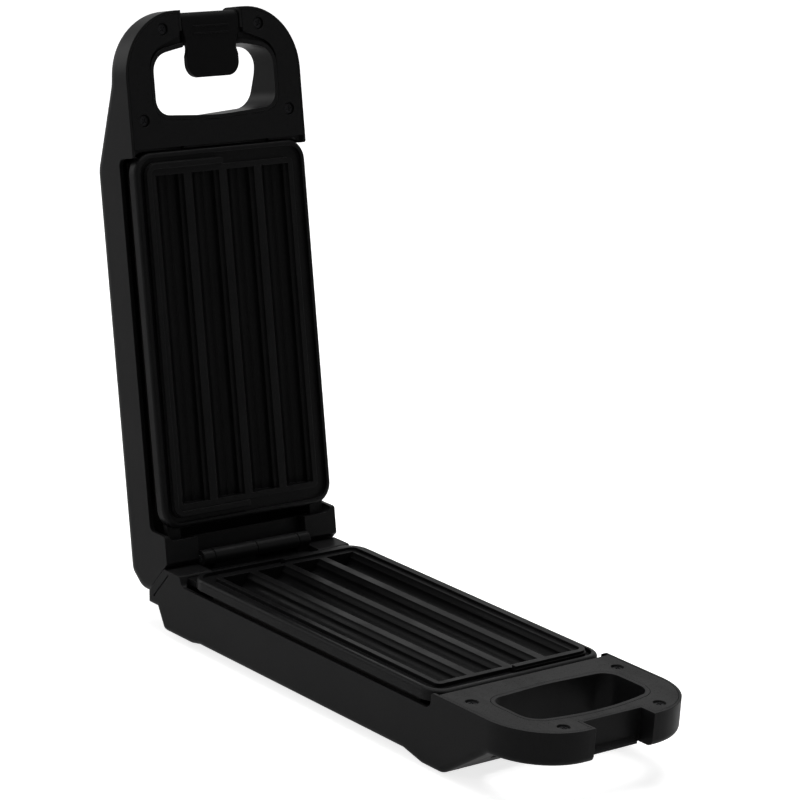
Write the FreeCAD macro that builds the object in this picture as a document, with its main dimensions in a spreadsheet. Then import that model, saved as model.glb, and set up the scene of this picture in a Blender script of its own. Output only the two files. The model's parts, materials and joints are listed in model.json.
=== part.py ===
import FreeCAD, Part
import math
import os
from types import SimpleNamespace

import Sketcher

# A hinged churro maker, lid open on its stop.
# Every piece is drawn in the frame of one half: the hinge axis is the X axis, the parting plane is
# Z = 0, the half's depth runs to -Z and its handle points to -Y.  The base half stands as drawn.
# The lid half is the same frame turned over about Y and opened about the hinge.

# Driving dimensions in millimetres and degrees: name, value, meaning
DRIVING = [
    ("open_angle", 103.0, "lid angle at its stop, from closed"),
    ("stop_clearance", 0.3, "gap between the two stop faces when open"),
    ("parting_gap", 0.4, "gap between the halves when closed"),
    ("foot_drop", 42.0, "hinge axis above the table"),
    ("channel_count", 4, "churro channels in a plate"),
    ("channel_pitch", 24.75, "spacing of the channels"),
    ("channel_length", 184.0, "length of a channel"),
    ("channel_radius", 9.7, "radius over the lobes of a channel"),
    ("channel_cusp", 8.7, "radius at the cusps between lobes"),
    ("field_margin", 3.2, "flat field beside the outer channels"),
    ("field_round", 3.0, "corner radius of the field"),
    ("lip_width", 4.0, "sealing lip round one half of the field"),
    ("lip_slack", 0.5, "side clearance of the raised part of the lip"),
    ("lip_rise", 1.2, "height of the lip over the parting plane"),
    ("trough_width", 2.8, "drip trough between lip and rim"),
    ("trough_depth", 2.2, "depth of the trough under the rim"),
    ("rim_width", 3.2, "width of the plate's rim"),
    ("rim_round", 2.2, "rounding of the rim's outer edge"),
    ("plate_corner", 12.0, "corner radius of the plate"),
    ("plate_skirt", 6.2, "height of the plate's skirt"),
    ("plate_web", 2.5, "casting thickness under the trough"),
    ("mould_wall", 2.4, "casting thickness round a channel"),
    ("plate_rear", 18.5, "hinge axis to the plate's rear edge"),
    ("lug_width", 12.0, "width of a front fixing lug"),
    ("lug_reach", 12.0, "length of a front fixing lug"),
    ("lug_top", 5.0, "parting plane to the top of a lug"),
    ("lug_thickness", 3.2, "thickness of lugs and tongues"),
    ("lug_spread", 30.0, "lug centre from the middle"),
    ("tongue_width", 9.0, "width of a rear tongue"),
    ("tongue_spread", 51.0, "tongue centre from the middle"),
    ("tongue_grip", 3.5, "length of tongue held in the housing"),
    ("tongue_slack", 0.2, "clearance of a tongue in its slot"),
    ("lug_boss", 3.6, "radius of the boss under a lug"),
    ("element_radius", 3.3, "radius of the heating tube"),
    ("element_bend", 3.0, "corner cut of the heating tube's bends"),
    ("element_seat", 0.2, "gap between heating tube and casting"),
    ("element_front_gap", 4.5, "channel casting to the tube's cross run"),
    ("pin_radius", 1.3, "radius of a cold pin"),
    ("pin_length", 7.0, "length of a cold pin"),
    ("shield_thickness", 0.8, "sheet of the heat shield"),
    ("shield_gap", 1.2, "heating tube to heat shield"),
    ("shield_side_gap", 1.6, "heat shield to the plate's skirt"),
    ("shield_flange_top", 7.4, "parting plane to the shield's flange"),
    ("boss_radius", 3.6, "radius of a shield boss on the plate"),
    ("boss_spread", 76.0, "spacing of the shield bosses"),
    ("thermostat_radius", 7.5, "radius of the thermostat's body"),
    ("thermostat_flange", 10.5, "radius of the thermostat's flange"),
    ("thermostat_body", 9.0, "thermostat length behind its flange"),
    ("thermostat_setback", 40.0, "thermostat behind the plate's middle"),
    ("thermostat_slack", 0.6, "clearance of the thermostat in the shield"),
    ("blade_width", 6.3, "width of a terminal blade"),
    ("blade_thickness", 0.8, "thickness of a terminal blade"),
    ("blade_length", 7.0, "length of a terminal blade"),
    ("blade_spread", 4.0, "blade centre from the thermostat's axis"),
    ("fuse_radius", 2.2, "radius of the thermal fuse's sleeve"),
    ("fuse_length", 22.0, "length of the thermal fuse's sleeve"),
    ("fuse_offset", 14.0, "thermal fuse beside the middle"),
    ("fuse_setback", 7.0, "thermal fuse behind the thermostat's axis"),
    ("fuse_seat", 0.3, "thermal fuse to the heat shield"),
    ("side_margin", 1.0, "housing side beyond the plate's edge"),
    ("wall", 2.4, "wall of the housings"),
    ("bay_gap", 0.5, "plate's front to the wall of the bay"),
    ("bay_corner", 5.0, "corner radius of the plate bay"),
    ("base_depth", 37.5, "parting plane to the base's underside"),
    ("lid_depth", 38.0, "parting plane to the lid's top"),
    ("base_slot", 9.0, "parting plane to the base's side wall"),
    ("lid_slot", 13.5, "parting plane to the lid's side wall"),
    ("slot_overlap", 2.5, "side wall rises this far behind the plate's front"),
    ("slot_round", 4.0, "inner corner radius of a side slot"),
    ("edge_round", 1.5, "small moulded edge radius"),
    ("base_ear", 3.5, "parting plane to the base's hinge ear"),
    ("base_ear_front", 11.5, "hinge axis to the front of the base's ear"),
    ("ear_slope", 3.0, "slope of an ear's front"),
    ("lid_ear_front", 15.5, "hinge axis to the front of the lid's ear"),
    ("stop_length", 28.0, "hinge axis to the foot of a stop face"),
    ("rear_draft", 0.6, "slope of the rear edge behind the stop face"),
    ("stop_bead", 4.5, "width of the bead beside the base's stop face"),
    ("bead_groove", 1.2, "width of the groove beside that bead"),
    ("bead_groove_depth", 0.6, "depth of the groove beside that bead"),
    ("flange_drop", 27.4, "parting plane to the rear flange's underside"),
    ("flange_inset", 8.2, "rear wall under the flange, behind the hinge axis"),
    ("heel", 0.8, "rear wall at the underside, behind the hinge axis"),
    ("heel_round", 4.0, "heel corner radius"),
    ("rear_foot_drop", 39.0, "parting plane to the rear foot swell"),
    ("rear_foot_length", 24.0, "hinge axis to the front of the rear swell"),
    ("front_foot_drop", 40.8, "parting plane to the front foot swell"),
    ("front_foot_rear", 7.5, "front swell starts behind the plate's front"),
    ("front_foot_front", 8.5, "front swell ends before the plate's front"),
    ("foot_ramp", 15.0, "length of the ramp to the front swell"),
    ("foot_round", 8.0, "rounding of the foot swells"),
    ("handle_depth", 18.5, "depth of a handle"),
    ("lid_shoulder", 7.5, "lid's shoulder behind the plate's front"),
    ("lid_brow", 10.0, "rounding of the lid's rear top edge"),
    ("lid_rear_inset", 6.0, "lid's rear top edge behind the hinge axis"),
    ("lid_rear_drop", 29.0, "parting plane to the lid's rear break"),
    ("lid_sweep", 20.0, "large rounding of the lid's profile"),
    ("base_edge_round", 3.5, "rounding of the base's lower edges"),
    ("lid_edge_round", 7.0, "rounding of the lid's upper edges"),
    ("trim_margin", 4.0, "stock trimmed away outside the plan"),
    ("notch_shoulder", 4.0, "flat front beside the latch notch"),
    ("handle_wall", 3.2, "wall of the handles"),
    ("handle_hollow", 14.5, "depth of the hollow in a handle"),
    ("grip_setback", 17.5, "plate's front to the finger opening"),
    ("grip_length", 43.0, "finger opening, front to back at the middle"),
    ("grip_width", 84.0, "width of the finger opening"),
    ("grip_rear_round", 9.0, "rear corner radius of the finger opening"),
    ("grip_front_round", 11.0, "front corner radius of the finger opening"),
    ("grip_rear_bow", 2.5, "bow of the opening's rear edge"),
    ("grip_front_bow", 8.0, "bow of the opening's front edge"),
    ("grip_bow_round", 150.0, "radius at the middle of a bowed edge"),
    ("ring_wall", 2.2, "wall round the finger opening"),
    ("ring_ledge", 1.4, "ledge outside that wall"),
    ("bar_thickness", 6.5, "bar between opening and latch notch"),
    ("notch_width", 41.0, "width of the latch notch"),
    ("notch_depth", 10.0, "depth of the latch notch"),
    ("cover_thickness", 2.5, "thickness of a handle cover"),
    ("cover_rim", 1.8, "housing rim round a handle cover"),
    ("cover_slack", 0.3, "clearance round a handle cover"),
    ("cover_gap", 1.8, "plate's front to the handle cover"),
    ("screw_well", 3.6, "radius of a screw well in a cover"),
    ("screw_well_depth", 1.6, "depth of a screw well in a cover"),
    ("rear_screw_spread", 51.0, "rear cover screws from the middle"),
    ("rear_screw_setback", 17.5, "plate's front to the rear cover screws"),
    ("front_screw_spread", 33.5, "front cover screws from the middle"),
    ("front_screw_inset", 10.0, "front cover screws behind the handle's tip"),
    ("catch_top", 15.0, "parting plane to the catch lip"),
    ("catch_height", 3.0, "height of the catch lip"),
    ("catch_reach", 3.3, "projection of the catch lip"),
    ("latch_channel", 10.5, "depth of the latch channel in the lid"),
    ("latch_pin_radius", 1.5, "radius of the latch pin"),
    ("latch_pin_setback", 5.5, "latch pin behind the handle's tip"),
    ("latch_pin_hold", 3.0, "latch pin held in each side"),
    ("latch_barrel", 4.0, "radius of the latch's barrel"),
    ("latch_recess", 0.5, "latch face below the lid's face"),
    ("latch_thickness", 3.0, "thickness of the latch"),
    ("latch_length", 32.5, "latch pin to the latch's end"),
    ("latch_waist", 33.0, "width of the latch at its waist"),
    ("latch_tab", 36.0, "width of the latch's finger tab"),
    ("latch_tab_round", 8.0, "corner radius of the finger tab"),
    ("latch_slack", 0.8, "latch to the side of its notch"),
    ("hook_thickness", 2.5, "thickness of the latch hook"),
    ("hook_depth", 4.0, "projection of the latch hook"),
    ("hook_clearance", 0.4, "latch hook under the catch lip"),
    ("latch_rib", 0.4, "height of a grip rib on the latch"),
    ("running_fit", 0.05, "radial clearance of pins that turn"),
    ("hinge_barrel", 4.5, "radius of a hinge barrel"),
    ("hinge_bay", 6.5, "hollow round the hinge barrels"),
    ("hinge_gap", 0.6, "gap between neighbouring barrels"),
    ("barrel_length", 29.5, "length of a middle barrel"),
    ("knuckle_length", 7.5, "length of an outer knuckle"),
    ("hinge_web", 6.0, "thickness of the web under a barrel"),
    ("hinge_pin_radius", 2.0, "radius of a hinge pin"),
    ("hinge_pin_length", 22.0, "length of a hinge pin"),
    ("pad_radius", 5.5, "radius of a rubber foot"),
    ("pad_spread", 46.0, "rubber feet from the middle"),
    ("rear_pad_setback", 12.0, "hinge axis to the rear rubber feet"),
    ("bushing_bore", 2.8, "bore radius of the cord bushing"),
    ("bushing_neck", 4.2, "neck radius of the cord bushing"),
    ("bushing_flange", 5.6, "flange radius of the cord bushing"),
    ("bushing_flange_height", 2.0, "flange thickness of the cord bushing"),
    ("bushing_drop", 6.2, "rear flange to the cord bushing"),
    ("bushing_inside", 4.0, "cord bushing behind the wall"),
    ("bushing_slack", 0.1, "clearance of the bushing in the wall"),
    ("block_width", 26.0, "width of the terminal block"),
    ("block_length", 16.0, "length of the terminal block"),
    ("block_height", 11.0, "height of the terminal block"),
    ("block_setback", 38.0, "hinge axis to the terminal block"),
    ("block_pole_spread", 7.5, "terminal pole from the block's middle"),
    ("block_pole_radius", 2.4, "radius of a terminal pole's bore"),
    ("lens_radius", 4.5, "radius of a pilot lens"),
    ("lens_flange", 6.0, "flange radius of a pilot lens"),
    ("lens_flange_height", 1.2, "flange thickness of a pilot lens"),
    ("lens_dome", 1.4, "dome of a pilot lens over the lid"),
    ("lens_slack", 0.1, "clearance of a lens in the lid"),
    ("lens_spread", 13.0, "pilot lens from the middle"),
    ("lens_setback", 26.0, "pilot lenses behind the plate's front"),
    ("lamp_radius", 2.6, "radius of a pilot lamp"),
    ("lamp_length", 10.0, "length of a pilot lamp"),
    ("lamp_slack", 0.2, "lamp to its holder"),
    ("holder_width", 54.0, "width of the lamp holder"),
    ("holder_length", 16.0, "length of the lamp holder"),
    ("holder_height", 10.0, "height of the lamp holder"),
]

LOBES_IN_HALF = 3
LOBE_ANGLE = 180.0 / (LOBES_IN_HALF + 1)
FINE = 0.01


class Size:
    """A number that keeps the sheet formula it follows."""

    def __init__(self, value, formula):
        self.value = value
        self.formula = formula

    def __add__(self, other):
        other = size(other)
        return Size(self.value + other.value, f"({self.formula} + {other.formula})")

    def __radd__(self, other):
        return size(other) + self

    def __sub__(self, other):
        other = size(other)
        return Size(self.value - other.value, f"({self.formula} - {other.formula})")

    def __rsub__(self, other):
        return size(other) - self

    def __mul__(self, other):
        other = size(other)
        return Size(self.value * other.value, f"({self.formula} * {other.formula})")

    def __rmul__(self, other):
        return size(other) * self

    def __truediv__(self, other):
        other = size(other)
        return Size(self.value / other.value, f"({self.formula} / {other.formula})")

    def __neg__(self):
        return Size(-self.value, f"(-1 * {self.formula})")


def size(number):
    """A plain number as a Size."""
    if isinstance(number, Size):
        return number
    return Size(float(number), f"{float(number):.6f}")


def cosine(angle):
    return Size(math.cos(math.radians(angle.value)), f"cos({angle.formula})")


def sine(angle):
    return Size(math.sin(math.radians(angle.value)), f"sin({angle.formula})")


def root(square):
    return Size(math.sqrt(square.value), f"sqrt({square.formula})")


def larger(first, second):
    return Size(max(first.value, second.value), f"max({first.formula}; {second.formula})")


def slope_angle(rise, run):
    ratio = rise / run
    return Size(math.degrees(math.atan(ratio.value)), f"atan({ratio.formula})")


doc = FreeCAD.newDocument("ChurroMaker")
sheet = doc.addObject("Spreadsheet::Sheet", "Sizes")
d = SimpleNamespace()
for row, (alias, number, meaning) in enumerate(DRIVING, start=1):
    sheet.set(f"A{row}", alias)
    sheet.set(f"B{row}", str(number))
    sheet.set(f"C{row}", meaning)
    sheet.setAlias(f"B{row}", alias)
    setattr(d, alias, Size(float(number), f"Sizes.{alias}"))
doc.recompute()

# Sizes that follow from the driving ones
face = d.parting_gap / 2
half_angle = d.open_angle / 2
last_channel = d.channel_pitch * (d.channel_count - 1) / 2
field_half = last_channel + d.channel_radius + d.field_margin
plate_half = field_half + d.lip_width + d.trough_width + d.rim_width
plate_ends = d.field_margin + d.lip_width + d.trough_width + d.rim_width
plate_front = d.plate_rear + d.channel_length + plate_ends * 2
plate_middle = (d.plate_rear + plate_front) / 2
channel_rear = d.plate_rear + plate_ends
channel_front = channel_rear + d.channel_length
skirt_bottom = face + d.plate_skirt
trough_floor = face + d.trough_depth
web_bottom = trough_floor + d.plate_web
mould_radius = d.channel_radius + d.mould_wall
nest = mould_radius + d.element_radius + d.element_seat
under_web = web_bottom + d.element_radius + d.element_seat
element_depth = larger(root(nest * nest - d.channel_pitch * d.channel_pitch / 4), under_web)
shield_top = element_depth + d.element_radius + d.shield_gap
shield_bottom = shield_top + d.shield_thickness
shield_half = plate_half - d.rim_width - d.shield_side_gap
shield_rear = d.plate_rear + d.rim_width + d.shield_side_gap
shield_front = plate_front - d.rim_width - d.shield_side_gap
lug_bottom = d.lug_top + d.lug_thickness
lug_hole = plate_front + d.lug_reach / 2
body_half = plate_half + d.side_margin
handle_corner = body_half - d.notch_width / 2 - d.notch_shoulder
slot_front = plate_front - d.slot_overlap
bay_front = plate_front + d.bay_gap
bay_rear = d.base_ear_front + d.ear_slope / 3
grip_rear = plate_front + d.grip_setback
grip_front = grip_rear + d.grip_length
notch_rear = grip_front + d.bar_thickness
reach = notch_rear + d.notch_depth
cover_rear = plate_front + d.cover_gap
cover_back = face + d.cover_thickness
hollow_rear = bay_front + d.handle_wall
thermostat_place = plate_middle - d.thermostat_setback
latch_pin_place = reach - d.latch_pin_setback
latch_pin_depth = face + d.latch_recess + d.latch_barrel
cover_screws = [
    (d.rear_screw_spread, plate_front + d.rear_screw_setback),
    (-d.rear_screw_spread, plate_front + d.rear_screw_setback),
    (d.front_screw_spread, reach - d.front_screw_inset),
    (-d.front_screw_spread, reach - d.front_screw_inset),
]
shield_bosses = [plate_middle - d.boss_spread, plate_middle + d.boss_spread]
barrel_start = d.hinge_gap / 2
knuckle_start = barrel_start + d.barrel_length + d.hinge_gap
knuckle_end = knuckle_start + d.knuckle_length
element_leg = d.channel_pitch * (d.channel_count - 2) / 2
element_rear = channel_rear - d.mould_wall
front_pad = plate_front + (d.front_foot_front - d.front_foot_rear) / 2
base_floor = d.base_depth - d.wall
lid_floor = d.lid_depth - d.wall
lens_place = plate_front - d.lens_setback
block_pole = base_floor - d.block_height / 2
fuse_depth = shield_bottom + d.fuse_seat + d.fuse_radius
fuse_place = thermostat_place - d.fuse_setback - d.fuse_length / 2
lid_back = d.lid_depth * sine(d.open_angle) - (plate_front - d.lid_shoulder) * cosine(d.open_angle)
hinge_back = (reach - lid_back) / 2


def bind(thing, path, value):
    """Tie a property to the sheet."""
    thing.setExpression(path, size(value).formula)


def dimension(sketch, kind, references, value):
    """Add a dimension to a sketch and tie it to the sheet."""
    rule = Sketcher.Constraint(kind, *references, value.value)
    rule.Name = f"{kind}{sketch.ConstraintCount}"
    sketch.addConstraint(rule)
    bind(sketch, f"Constraints.{rule.Name}", value)


def pin_down(sketch, element, point, x, y):
    """Fix a point of a sketch at x, y from the sketch's origin."""
    for kind, axis, value in (("DistanceX", -2, size(x)), ("DistanceY", -1, size(y))):
        if value.value == 0:
            sketch.addConstraint(Sketcher.Constraint("PointOnObject", element, point, axis))
        else:
            dimension(sketch, kind, (-1, 1, element, point), value)


def corner_arc(before, here, after, radius):
    """Tangent arc at a corner: its two ends along the path, the arc, and whether it turns left."""
    back = (before - here).normalize()
    ahead = (after - here).normalize()
    half = back.getAngle(ahead) / 2
    start = here + back * (radius / math.tan(half))
    end = here + ahead * (radius / math.tan(half))
    centre = here + (back + ahead).normalize() * (radius / math.sin(half))
    left = back.cross(ahead).z < 0
    first, last = (start, end) if left else (end, start)
    angles = [math.atan2(p.y - centre.y, p.x - centre.x) for p in (first, last)]
    if angles[1] < angles[0]:
        angles[1] += 2 * math.pi
    circle = Part.Circle(centre, FreeCAD.Vector(0, 0, 1), radius)
    return start, end, Part.ArcOfCircle(circle, *angles), left


def outline(sketch, corners):
    """Closed loop of straight sides; a corner's third number rounds it with a tangent arc."""
    count = len(corners)
    points = [FreeCAD.Vector(size(c[0]).value, size(c[1]).value, 0) for c in corners]
    starts, ends, arcs = list(points), list(points), {}
    for i, corner in enumerate(corners):
        if len(corner) > 2:
            before, after = points[i - 1], points[(i + 1) % count]
            starts[i], ends[i], arc, left = corner_arc(before, points[i], after, size(corner[2]).value)
            arcs[i] = (sketch.addGeometry(arc), left)
    sides = [sketch.addGeometry(Part.LineSegment(ends[i], starts[(i + 1) % count])) for i in range(count)]
    for i, corner in enumerate(corners):
        before, after = sides[i - 1], sides[i]
        if i not in arcs:
            sketch.addConstraint(Sketcher.Constraint("Coincident", before, 2, after, 1))
            pin_down(sketch, after, 1, corner[0], corner[1])
            continue
        arc, left = arcs[i]
        first, last = (1, 2) if left else (2, 1)
        apex = sketch.addGeometry(Part.Point(points[i]), True)
        sketch.addConstraint(Sketcher.Constraint("Tangent", before, 2, arc, first))
        sketch.addConstraint(Sketcher.Constraint("Tangent", arc, last, after, 1))
        sketch.addConstraint(Sketcher.Constraint("PointOnObject", apex, 1, before))
        sketch.addConstraint(Sketcher.Constraint("PointOnObject", apex, 1, after))
        dimension(sketch, "Radius", (arc,), size(corner[2]))
        pin_down(sketch, apex, 1, corner[0], corner[1])


def box_outline(sketch, x0, x1, y0, y1, *rounding):
    """Rectangle, with its corners rounded where a radius is given."""
    outline(sketch, [(x0, y0, *rounding), (x1, y0, *rounding), (x1, y1, *rounding), (x0, y1, *rounding)])


def disc(sketch, x, y, radius):
    """Circle."""
    centre = FreeCAD.Vector(size(x).value, size(y).value, 0)
    circle = Part.Circle(centre, FreeCAD.Vector(0, 0, 1), size(radius).value)
    index = sketch.addGeometry(circle)
    dimension(sketch, "Radius", (index,), size(radius))
    pin_down(sketch, index, 3, x, y)


def new_body(name):
    body = doc.addObject("PartDesign::Body", name)
    body.Label = name
    return body


def draw(body, name, plane, height=0, spot=(0, 0), turn=0):
    """New sketch on one of the body's origin planes, moved along its normal by height.

    XY: x, y, normal +Z.  XZ: x, z, normal -Y.  YZ: y, z, normal +X.
    The sketch's own origin can stand at a spot of the plane and its axes can be turned.
    """
    sketch = body.newObject("Sketcher::SketchObject", f"{body.Name}_{name}")
    support = next(f for f in body.Origin.OriginFeatures if f.Role == f"{plane}_Plane")
    sketch.AttachmentSupport = (support, [""])
    sketch.MapMode = "FlatFace"
    offsets = {"Base.x": spot[0], "Base.y": spot[1], "Base.z": height, "Rotation.Angle": turn}
    for path, value in offsets.items():
        if size(value).value != 0:
            bind(sketch, f"AttachmentOffset.{path}", value)
    return sketch


def extrude(kind, sketch, length, forward, both):
    body = sketch.getParentGeoFeatureGroup()
    feature = body.newObject(f"PartDesign::{kind}", f"{sketch.Name}_{kind}")
    feature.Profile = sketch
    bind(feature, "Length", length)
    feature.SideType = "Symmetric" if both else "One side"
    feature.Reversed = forward == (kind == "Pocket")
    return feature


def grow(sketch, length, forward=True, both=False):
    """Pad along the sketch's normal, or against it."""
    return extrude("Pad", sketch, length, forward, both)


def cut(sketch, length, forward=False, both=False):
    """Pocket against the sketch's normal, or along it."""
    return extrude("Pocket", sketch, length, forward, both)


def spin(sketch, about, kind="Revolution"):
    """Full turn of a sketch about one of its own axes."""
    body = sketch.getParentGeoFeatureGroup()
    feature = body.newObject(f"PartDesign::{kind}", f"{sketch.Name}_{kind}")
    feature.Profile = sketch
    feature.ReferenceAxis = (sketch, [about])
    feature.Angle = 360
    return feature


def sweep(path, ring):
    """Pipe of a ring sketch along a path sketch of the same body, mitred at its corners."""
    body = path.getParentGeoFeatureGroup()
    pipe = body.newObject("PartDesign::AdditivePipe", f"{path.Name}_Pipe")
    pipe.Profile = ring
    pipe.Spine = (path, [])
    pipe.Transition = "Right corner"
    return pipe


def repeat(body, feature, count, spacing):
    """Copies of a feature in a row along X."""
    pattern = body.newObject("PartDesign::LinearPattern", f"{feature.Name}_row")
    pattern.Originals = [feature]
    x_axis = next(f for f in body.Origin.OriginFeatures if f.Role == "X_Axis")
    pattern.Direction = (x_axis, [""])
    bind(pattern, "Length", spacing * (count - 1))
    bind(pattern, "Occurrences", count)
    body.Tip = pattern
    return pattern


def soften(body, radius, wanted, name):
    """Fillet the edges of the body's tip that the test picks."""
    doc.recompute()
    tip = body.Tip
    edges = [f"Edge{i}" for i, edge in enumerate(tip.Shape.Edges, start=1) if wanted(edge)]
    fillet = body.newObject("PartDesign::Fillet", f"{body.Name}_{name}")
    fillet.Base = (tip, edges)
    bind(fillet, "Radius", radius)
    return fillet


def stand(body, half):
    """Put a finished body in the base half or, turned over and opened, in the lid half."""
    turn = "create(<<rotation>>; create(<<vector>>; 1; 0; 0); 0)"
    if half == "lid":
        turn = (
            "create(<<rotation>>; create(<<vector>>; 1; 0; 0); 0 - Sizes.open_angle)"
            " * create(<<rotation>>; create(<<vector>>; 0; 1; 0); 180)"
        )
    spot = f"create(<<vector>>; 0; {hinge_back.formula}; {d.foot_drop.formula})"
    body.setExpression("Placement", f"create(<<placement>>; {spot}; {turn})")
    pieces.append(body)


pieces = []


def stop_point(depth):
    """Point of the stop face at a depth under the parting plane."""
    offset = d.stop_clearance / 2
    along = (depth - offset * cosine(half_angle)) / sine(half_angle)
    return along * cosine(half_angle) - offset * sine(half_angle), -depth


def stop_foot():
    """Far end of the stop face."""
    offset = d.stop_clearance / 2
    y = d.stop_length * cosine(half_angle) - offset * sine(half_angle)
    z = -(d.stop_length * sine(half_angle) + offset * cosine(half_angle))
    return y, z


def base_profile():
    """Side view of the base: handle, side slot, hinge ear, stop face, heel, feet and handle underside."""
    return [
        (-(reach + d.trim_margin), -face),
        (-slot_front, -face, d.edge_round),
        (-slot_front, -d.base_slot, d.slot_round),
        (-(d.base_ear_front + d.ear_slope), -d.base_slot, d.slot_round),
        (-d.base_ear_front, -d.base_ear, d.edge_round),
        (*stop_point(d.base_ear), d.edge_round),
        stop_foot(),
        (stop_foot()[0] - d.rear_draft, -d.flange_drop),
        (d.flange_inset, -d.flange_drop),
        (d.heel, -d.rear_foot_drop, d.heel_round),
        (-d.rear_foot_length, -d.rear_foot_drop, d.foot_round),
        (-(d.rear_foot_length + d.foot_ramp / 2), -d.base_depth, d.foot_round),
        (-(plate_front - d.front_foot_rear - d.foot_ramp), -d.base_depth, d.foot_round),
        (-(plate_front - d.front_foot_rear), -d.front_foot_drop, d.foot_round),
        (-(plate_front + d.front_foot_front), -d.front_foot_drop, d.foot_round),
        (-(reach - handle_corner), -d.handle_depth, d.foot_round),
        (-(reach + d.trim_margin), -d.handle_depth),
    ]


def lid_profile():
    """Side view of the lid half: handle, side slot, hinge ear, stop face, rounded back and shoulder."""
    return [
        (-(reach + d.trim_margin), -face),
        (-slot_front, -face, d.edge_round),
        (-slot_front, -d.lid_slot, d.slot_round),
        (-(d.lid_ear_front + d.ear_slope), -d.lid_slot, d.slot_round),
        (-d.lid_ear_front, -face, d.edge_round),
        stop_point(face),
        stop_foot(),
        (stop_foot()[0] - d.rear_draft, -d.lid_rear_drop, d.lid_brow),
        (d.lid_rear_inset, -d.lid_depth, d.lid_brow),
        (-(plate_front - d.lid_shoulder), -d.lid_depth, d.lid_sweep),
        (-(reach - handle_corner), -d.handle_depth, d.lid_sweep),
        (-(reach + d.trim_margin), -d.handle_depth),
    ]


def handle_plan(inset, notch, rear):
    """Plan of a handle inset from its outer edge, with the latch notch let in at the front."""
    half = body_half - inset
    tip = reach - inset
    return [
        (-half, -rear),
        (half, -rear),
        (half, -tip, handle_corner - inset),
        (notch, -tip),
        (notch, -(notch_rear - inset)),
        (-notch, -(notch_rear - inset)),
        (-notch, -tip),
        (-half, -tip, handle_corner - inset),
    ]


def grip_plan(grow_by):
    """Plan of the finger opening, grown by a margin."""
    half = d.grip_width / 2 + grow_by
    rear_side = grip_rear + d.grip_rear_bow - grow_by
    front_side = grip_front - d.grip_front_bow + grow_by
    return [
        (-half, -rear_side, d.grip_rear_round + grow_by),
        (-half, -front_side, d.grip_front_round + grow_by),
        (0, -(grip_front + grow_by), d.grip_bow_round + grow_by),
        (half, -front_side, d.grip_front_round + grow_by),
        (half, -rear_side, d.grip_rear_round + grow_by),
        (0, -(grip_rear - grow_by), d.grip_bow_round + grow_by),
    ]


def housing(name, profile, edge_radius):
    """Outer block of one half: its side view, trimmed to the plan, with its outer edges rounded."""
    body = new_body(name)
    side = draw(body, "side", "YZ")
    outline(side, profile)
    grow(side, (body_half + d.trim_margin) * 2, both=True)
    plan = draw(body, "plan", "XY", d.foot_drop)
    out = body_half + d.trim_margin * 2
    box_outline(plan, -out, out, -(reach + d.trim_margin * 2), d.stop_length)
    outline(plan, [
        (-body_half, stop_foot()[0] + d.trim_margin),
        (-body_half, -reach, handle_corner),
        (body_half, -reach, handle_corner),
        (body_half, stop_foot()[0] + d.trim_margin),
    ])
    cut(plan, d.foot_drop * 3)
    soften(body, edge_radius, on_far_outline, "outer_edges")
    return body


def on_far_outline(edge):
    """True for the edges where a housing's sides meet the faces far from the parting plane."""
    ends = [vertex.Point for vertex in edge.Vertexes]
    across = abs(ends[0].x) > FINE and abs(ends[0].x + ends[-1].x) < FINE
    at_tip = edge.CenterOfMass.y < FINE - reach.value + d.trim_margin.value / 4
    low = edge.CenterOfMass.z < FINE - d.handle_depth.value
    return low and (at_tip or not across)


def hollow_out(body, depth, edge_radius, floor_front):
    """Plate bay, stepped in under the rounded edge, and the finger opening of a housing."""
    inner = body_half - d.wall
    bay = draw(body, "bay", "XY")
    box_outline(bay, -inner, inner, -bay_front, -bay_rear, d.bay_corner)
    cut(bay, depth - edge_radius)
    narrow = body_half - edge_radius
    floor = draw(body, "bay_floor", "XY")
    box_outline(floor, -narrow, narrow, -floor_front, -bay_rear, d.bay_corner)
    cut(floor, depth - d.wall)

    grip = draw(body, "grip", "XY", d.foot_drop)
    outline(grip, grip_plan(0))
    cut(grip, d.foot_drop * 3)


def handle_inside(body):
    """Seat of the handle cover and the hollow under it, round the finger opening's wall."""
    seat_inset = d.cover_rim - d.cover_slack
    seat_notch = d.notch_width / 2 + seat_inset
    seat = draw(body, "cover_seat", "XY")
    outline(seat, handle_plan(seat_inset, seat_notch, bay_front - d.wall))
    outline(seat, grip_plan(d.ring_wall))
    cut(seat, cover_back)

    hollow = draw(body, "hollow", "XY")
    ring = grip_plan(d.ring_wall + d.ring_ledge)
    notch = d.notch_width / 2 + d.handle_wall
    half = body_half - d.handle_wall
    tip = reach - d.handle_wall
    outline(hollow, [
        (notch, -tip),
        (notch, ring[2][1]),
        *[ring[i] for i in (3, 4, 5, 0, 1)],
        (-notch, ring[2][1]),
        (-notch, -tip),
        (-half, -tip, handle_corner - d.handle_wall),
        (-half, -hollow_rear, d.edge_round),
        (half, -hollow_rear, d.edge_round),
        (half, -tip, handle_corner - d.handle_wall),
    ])
    cut(hollow, d.handle_hollow)


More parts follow.
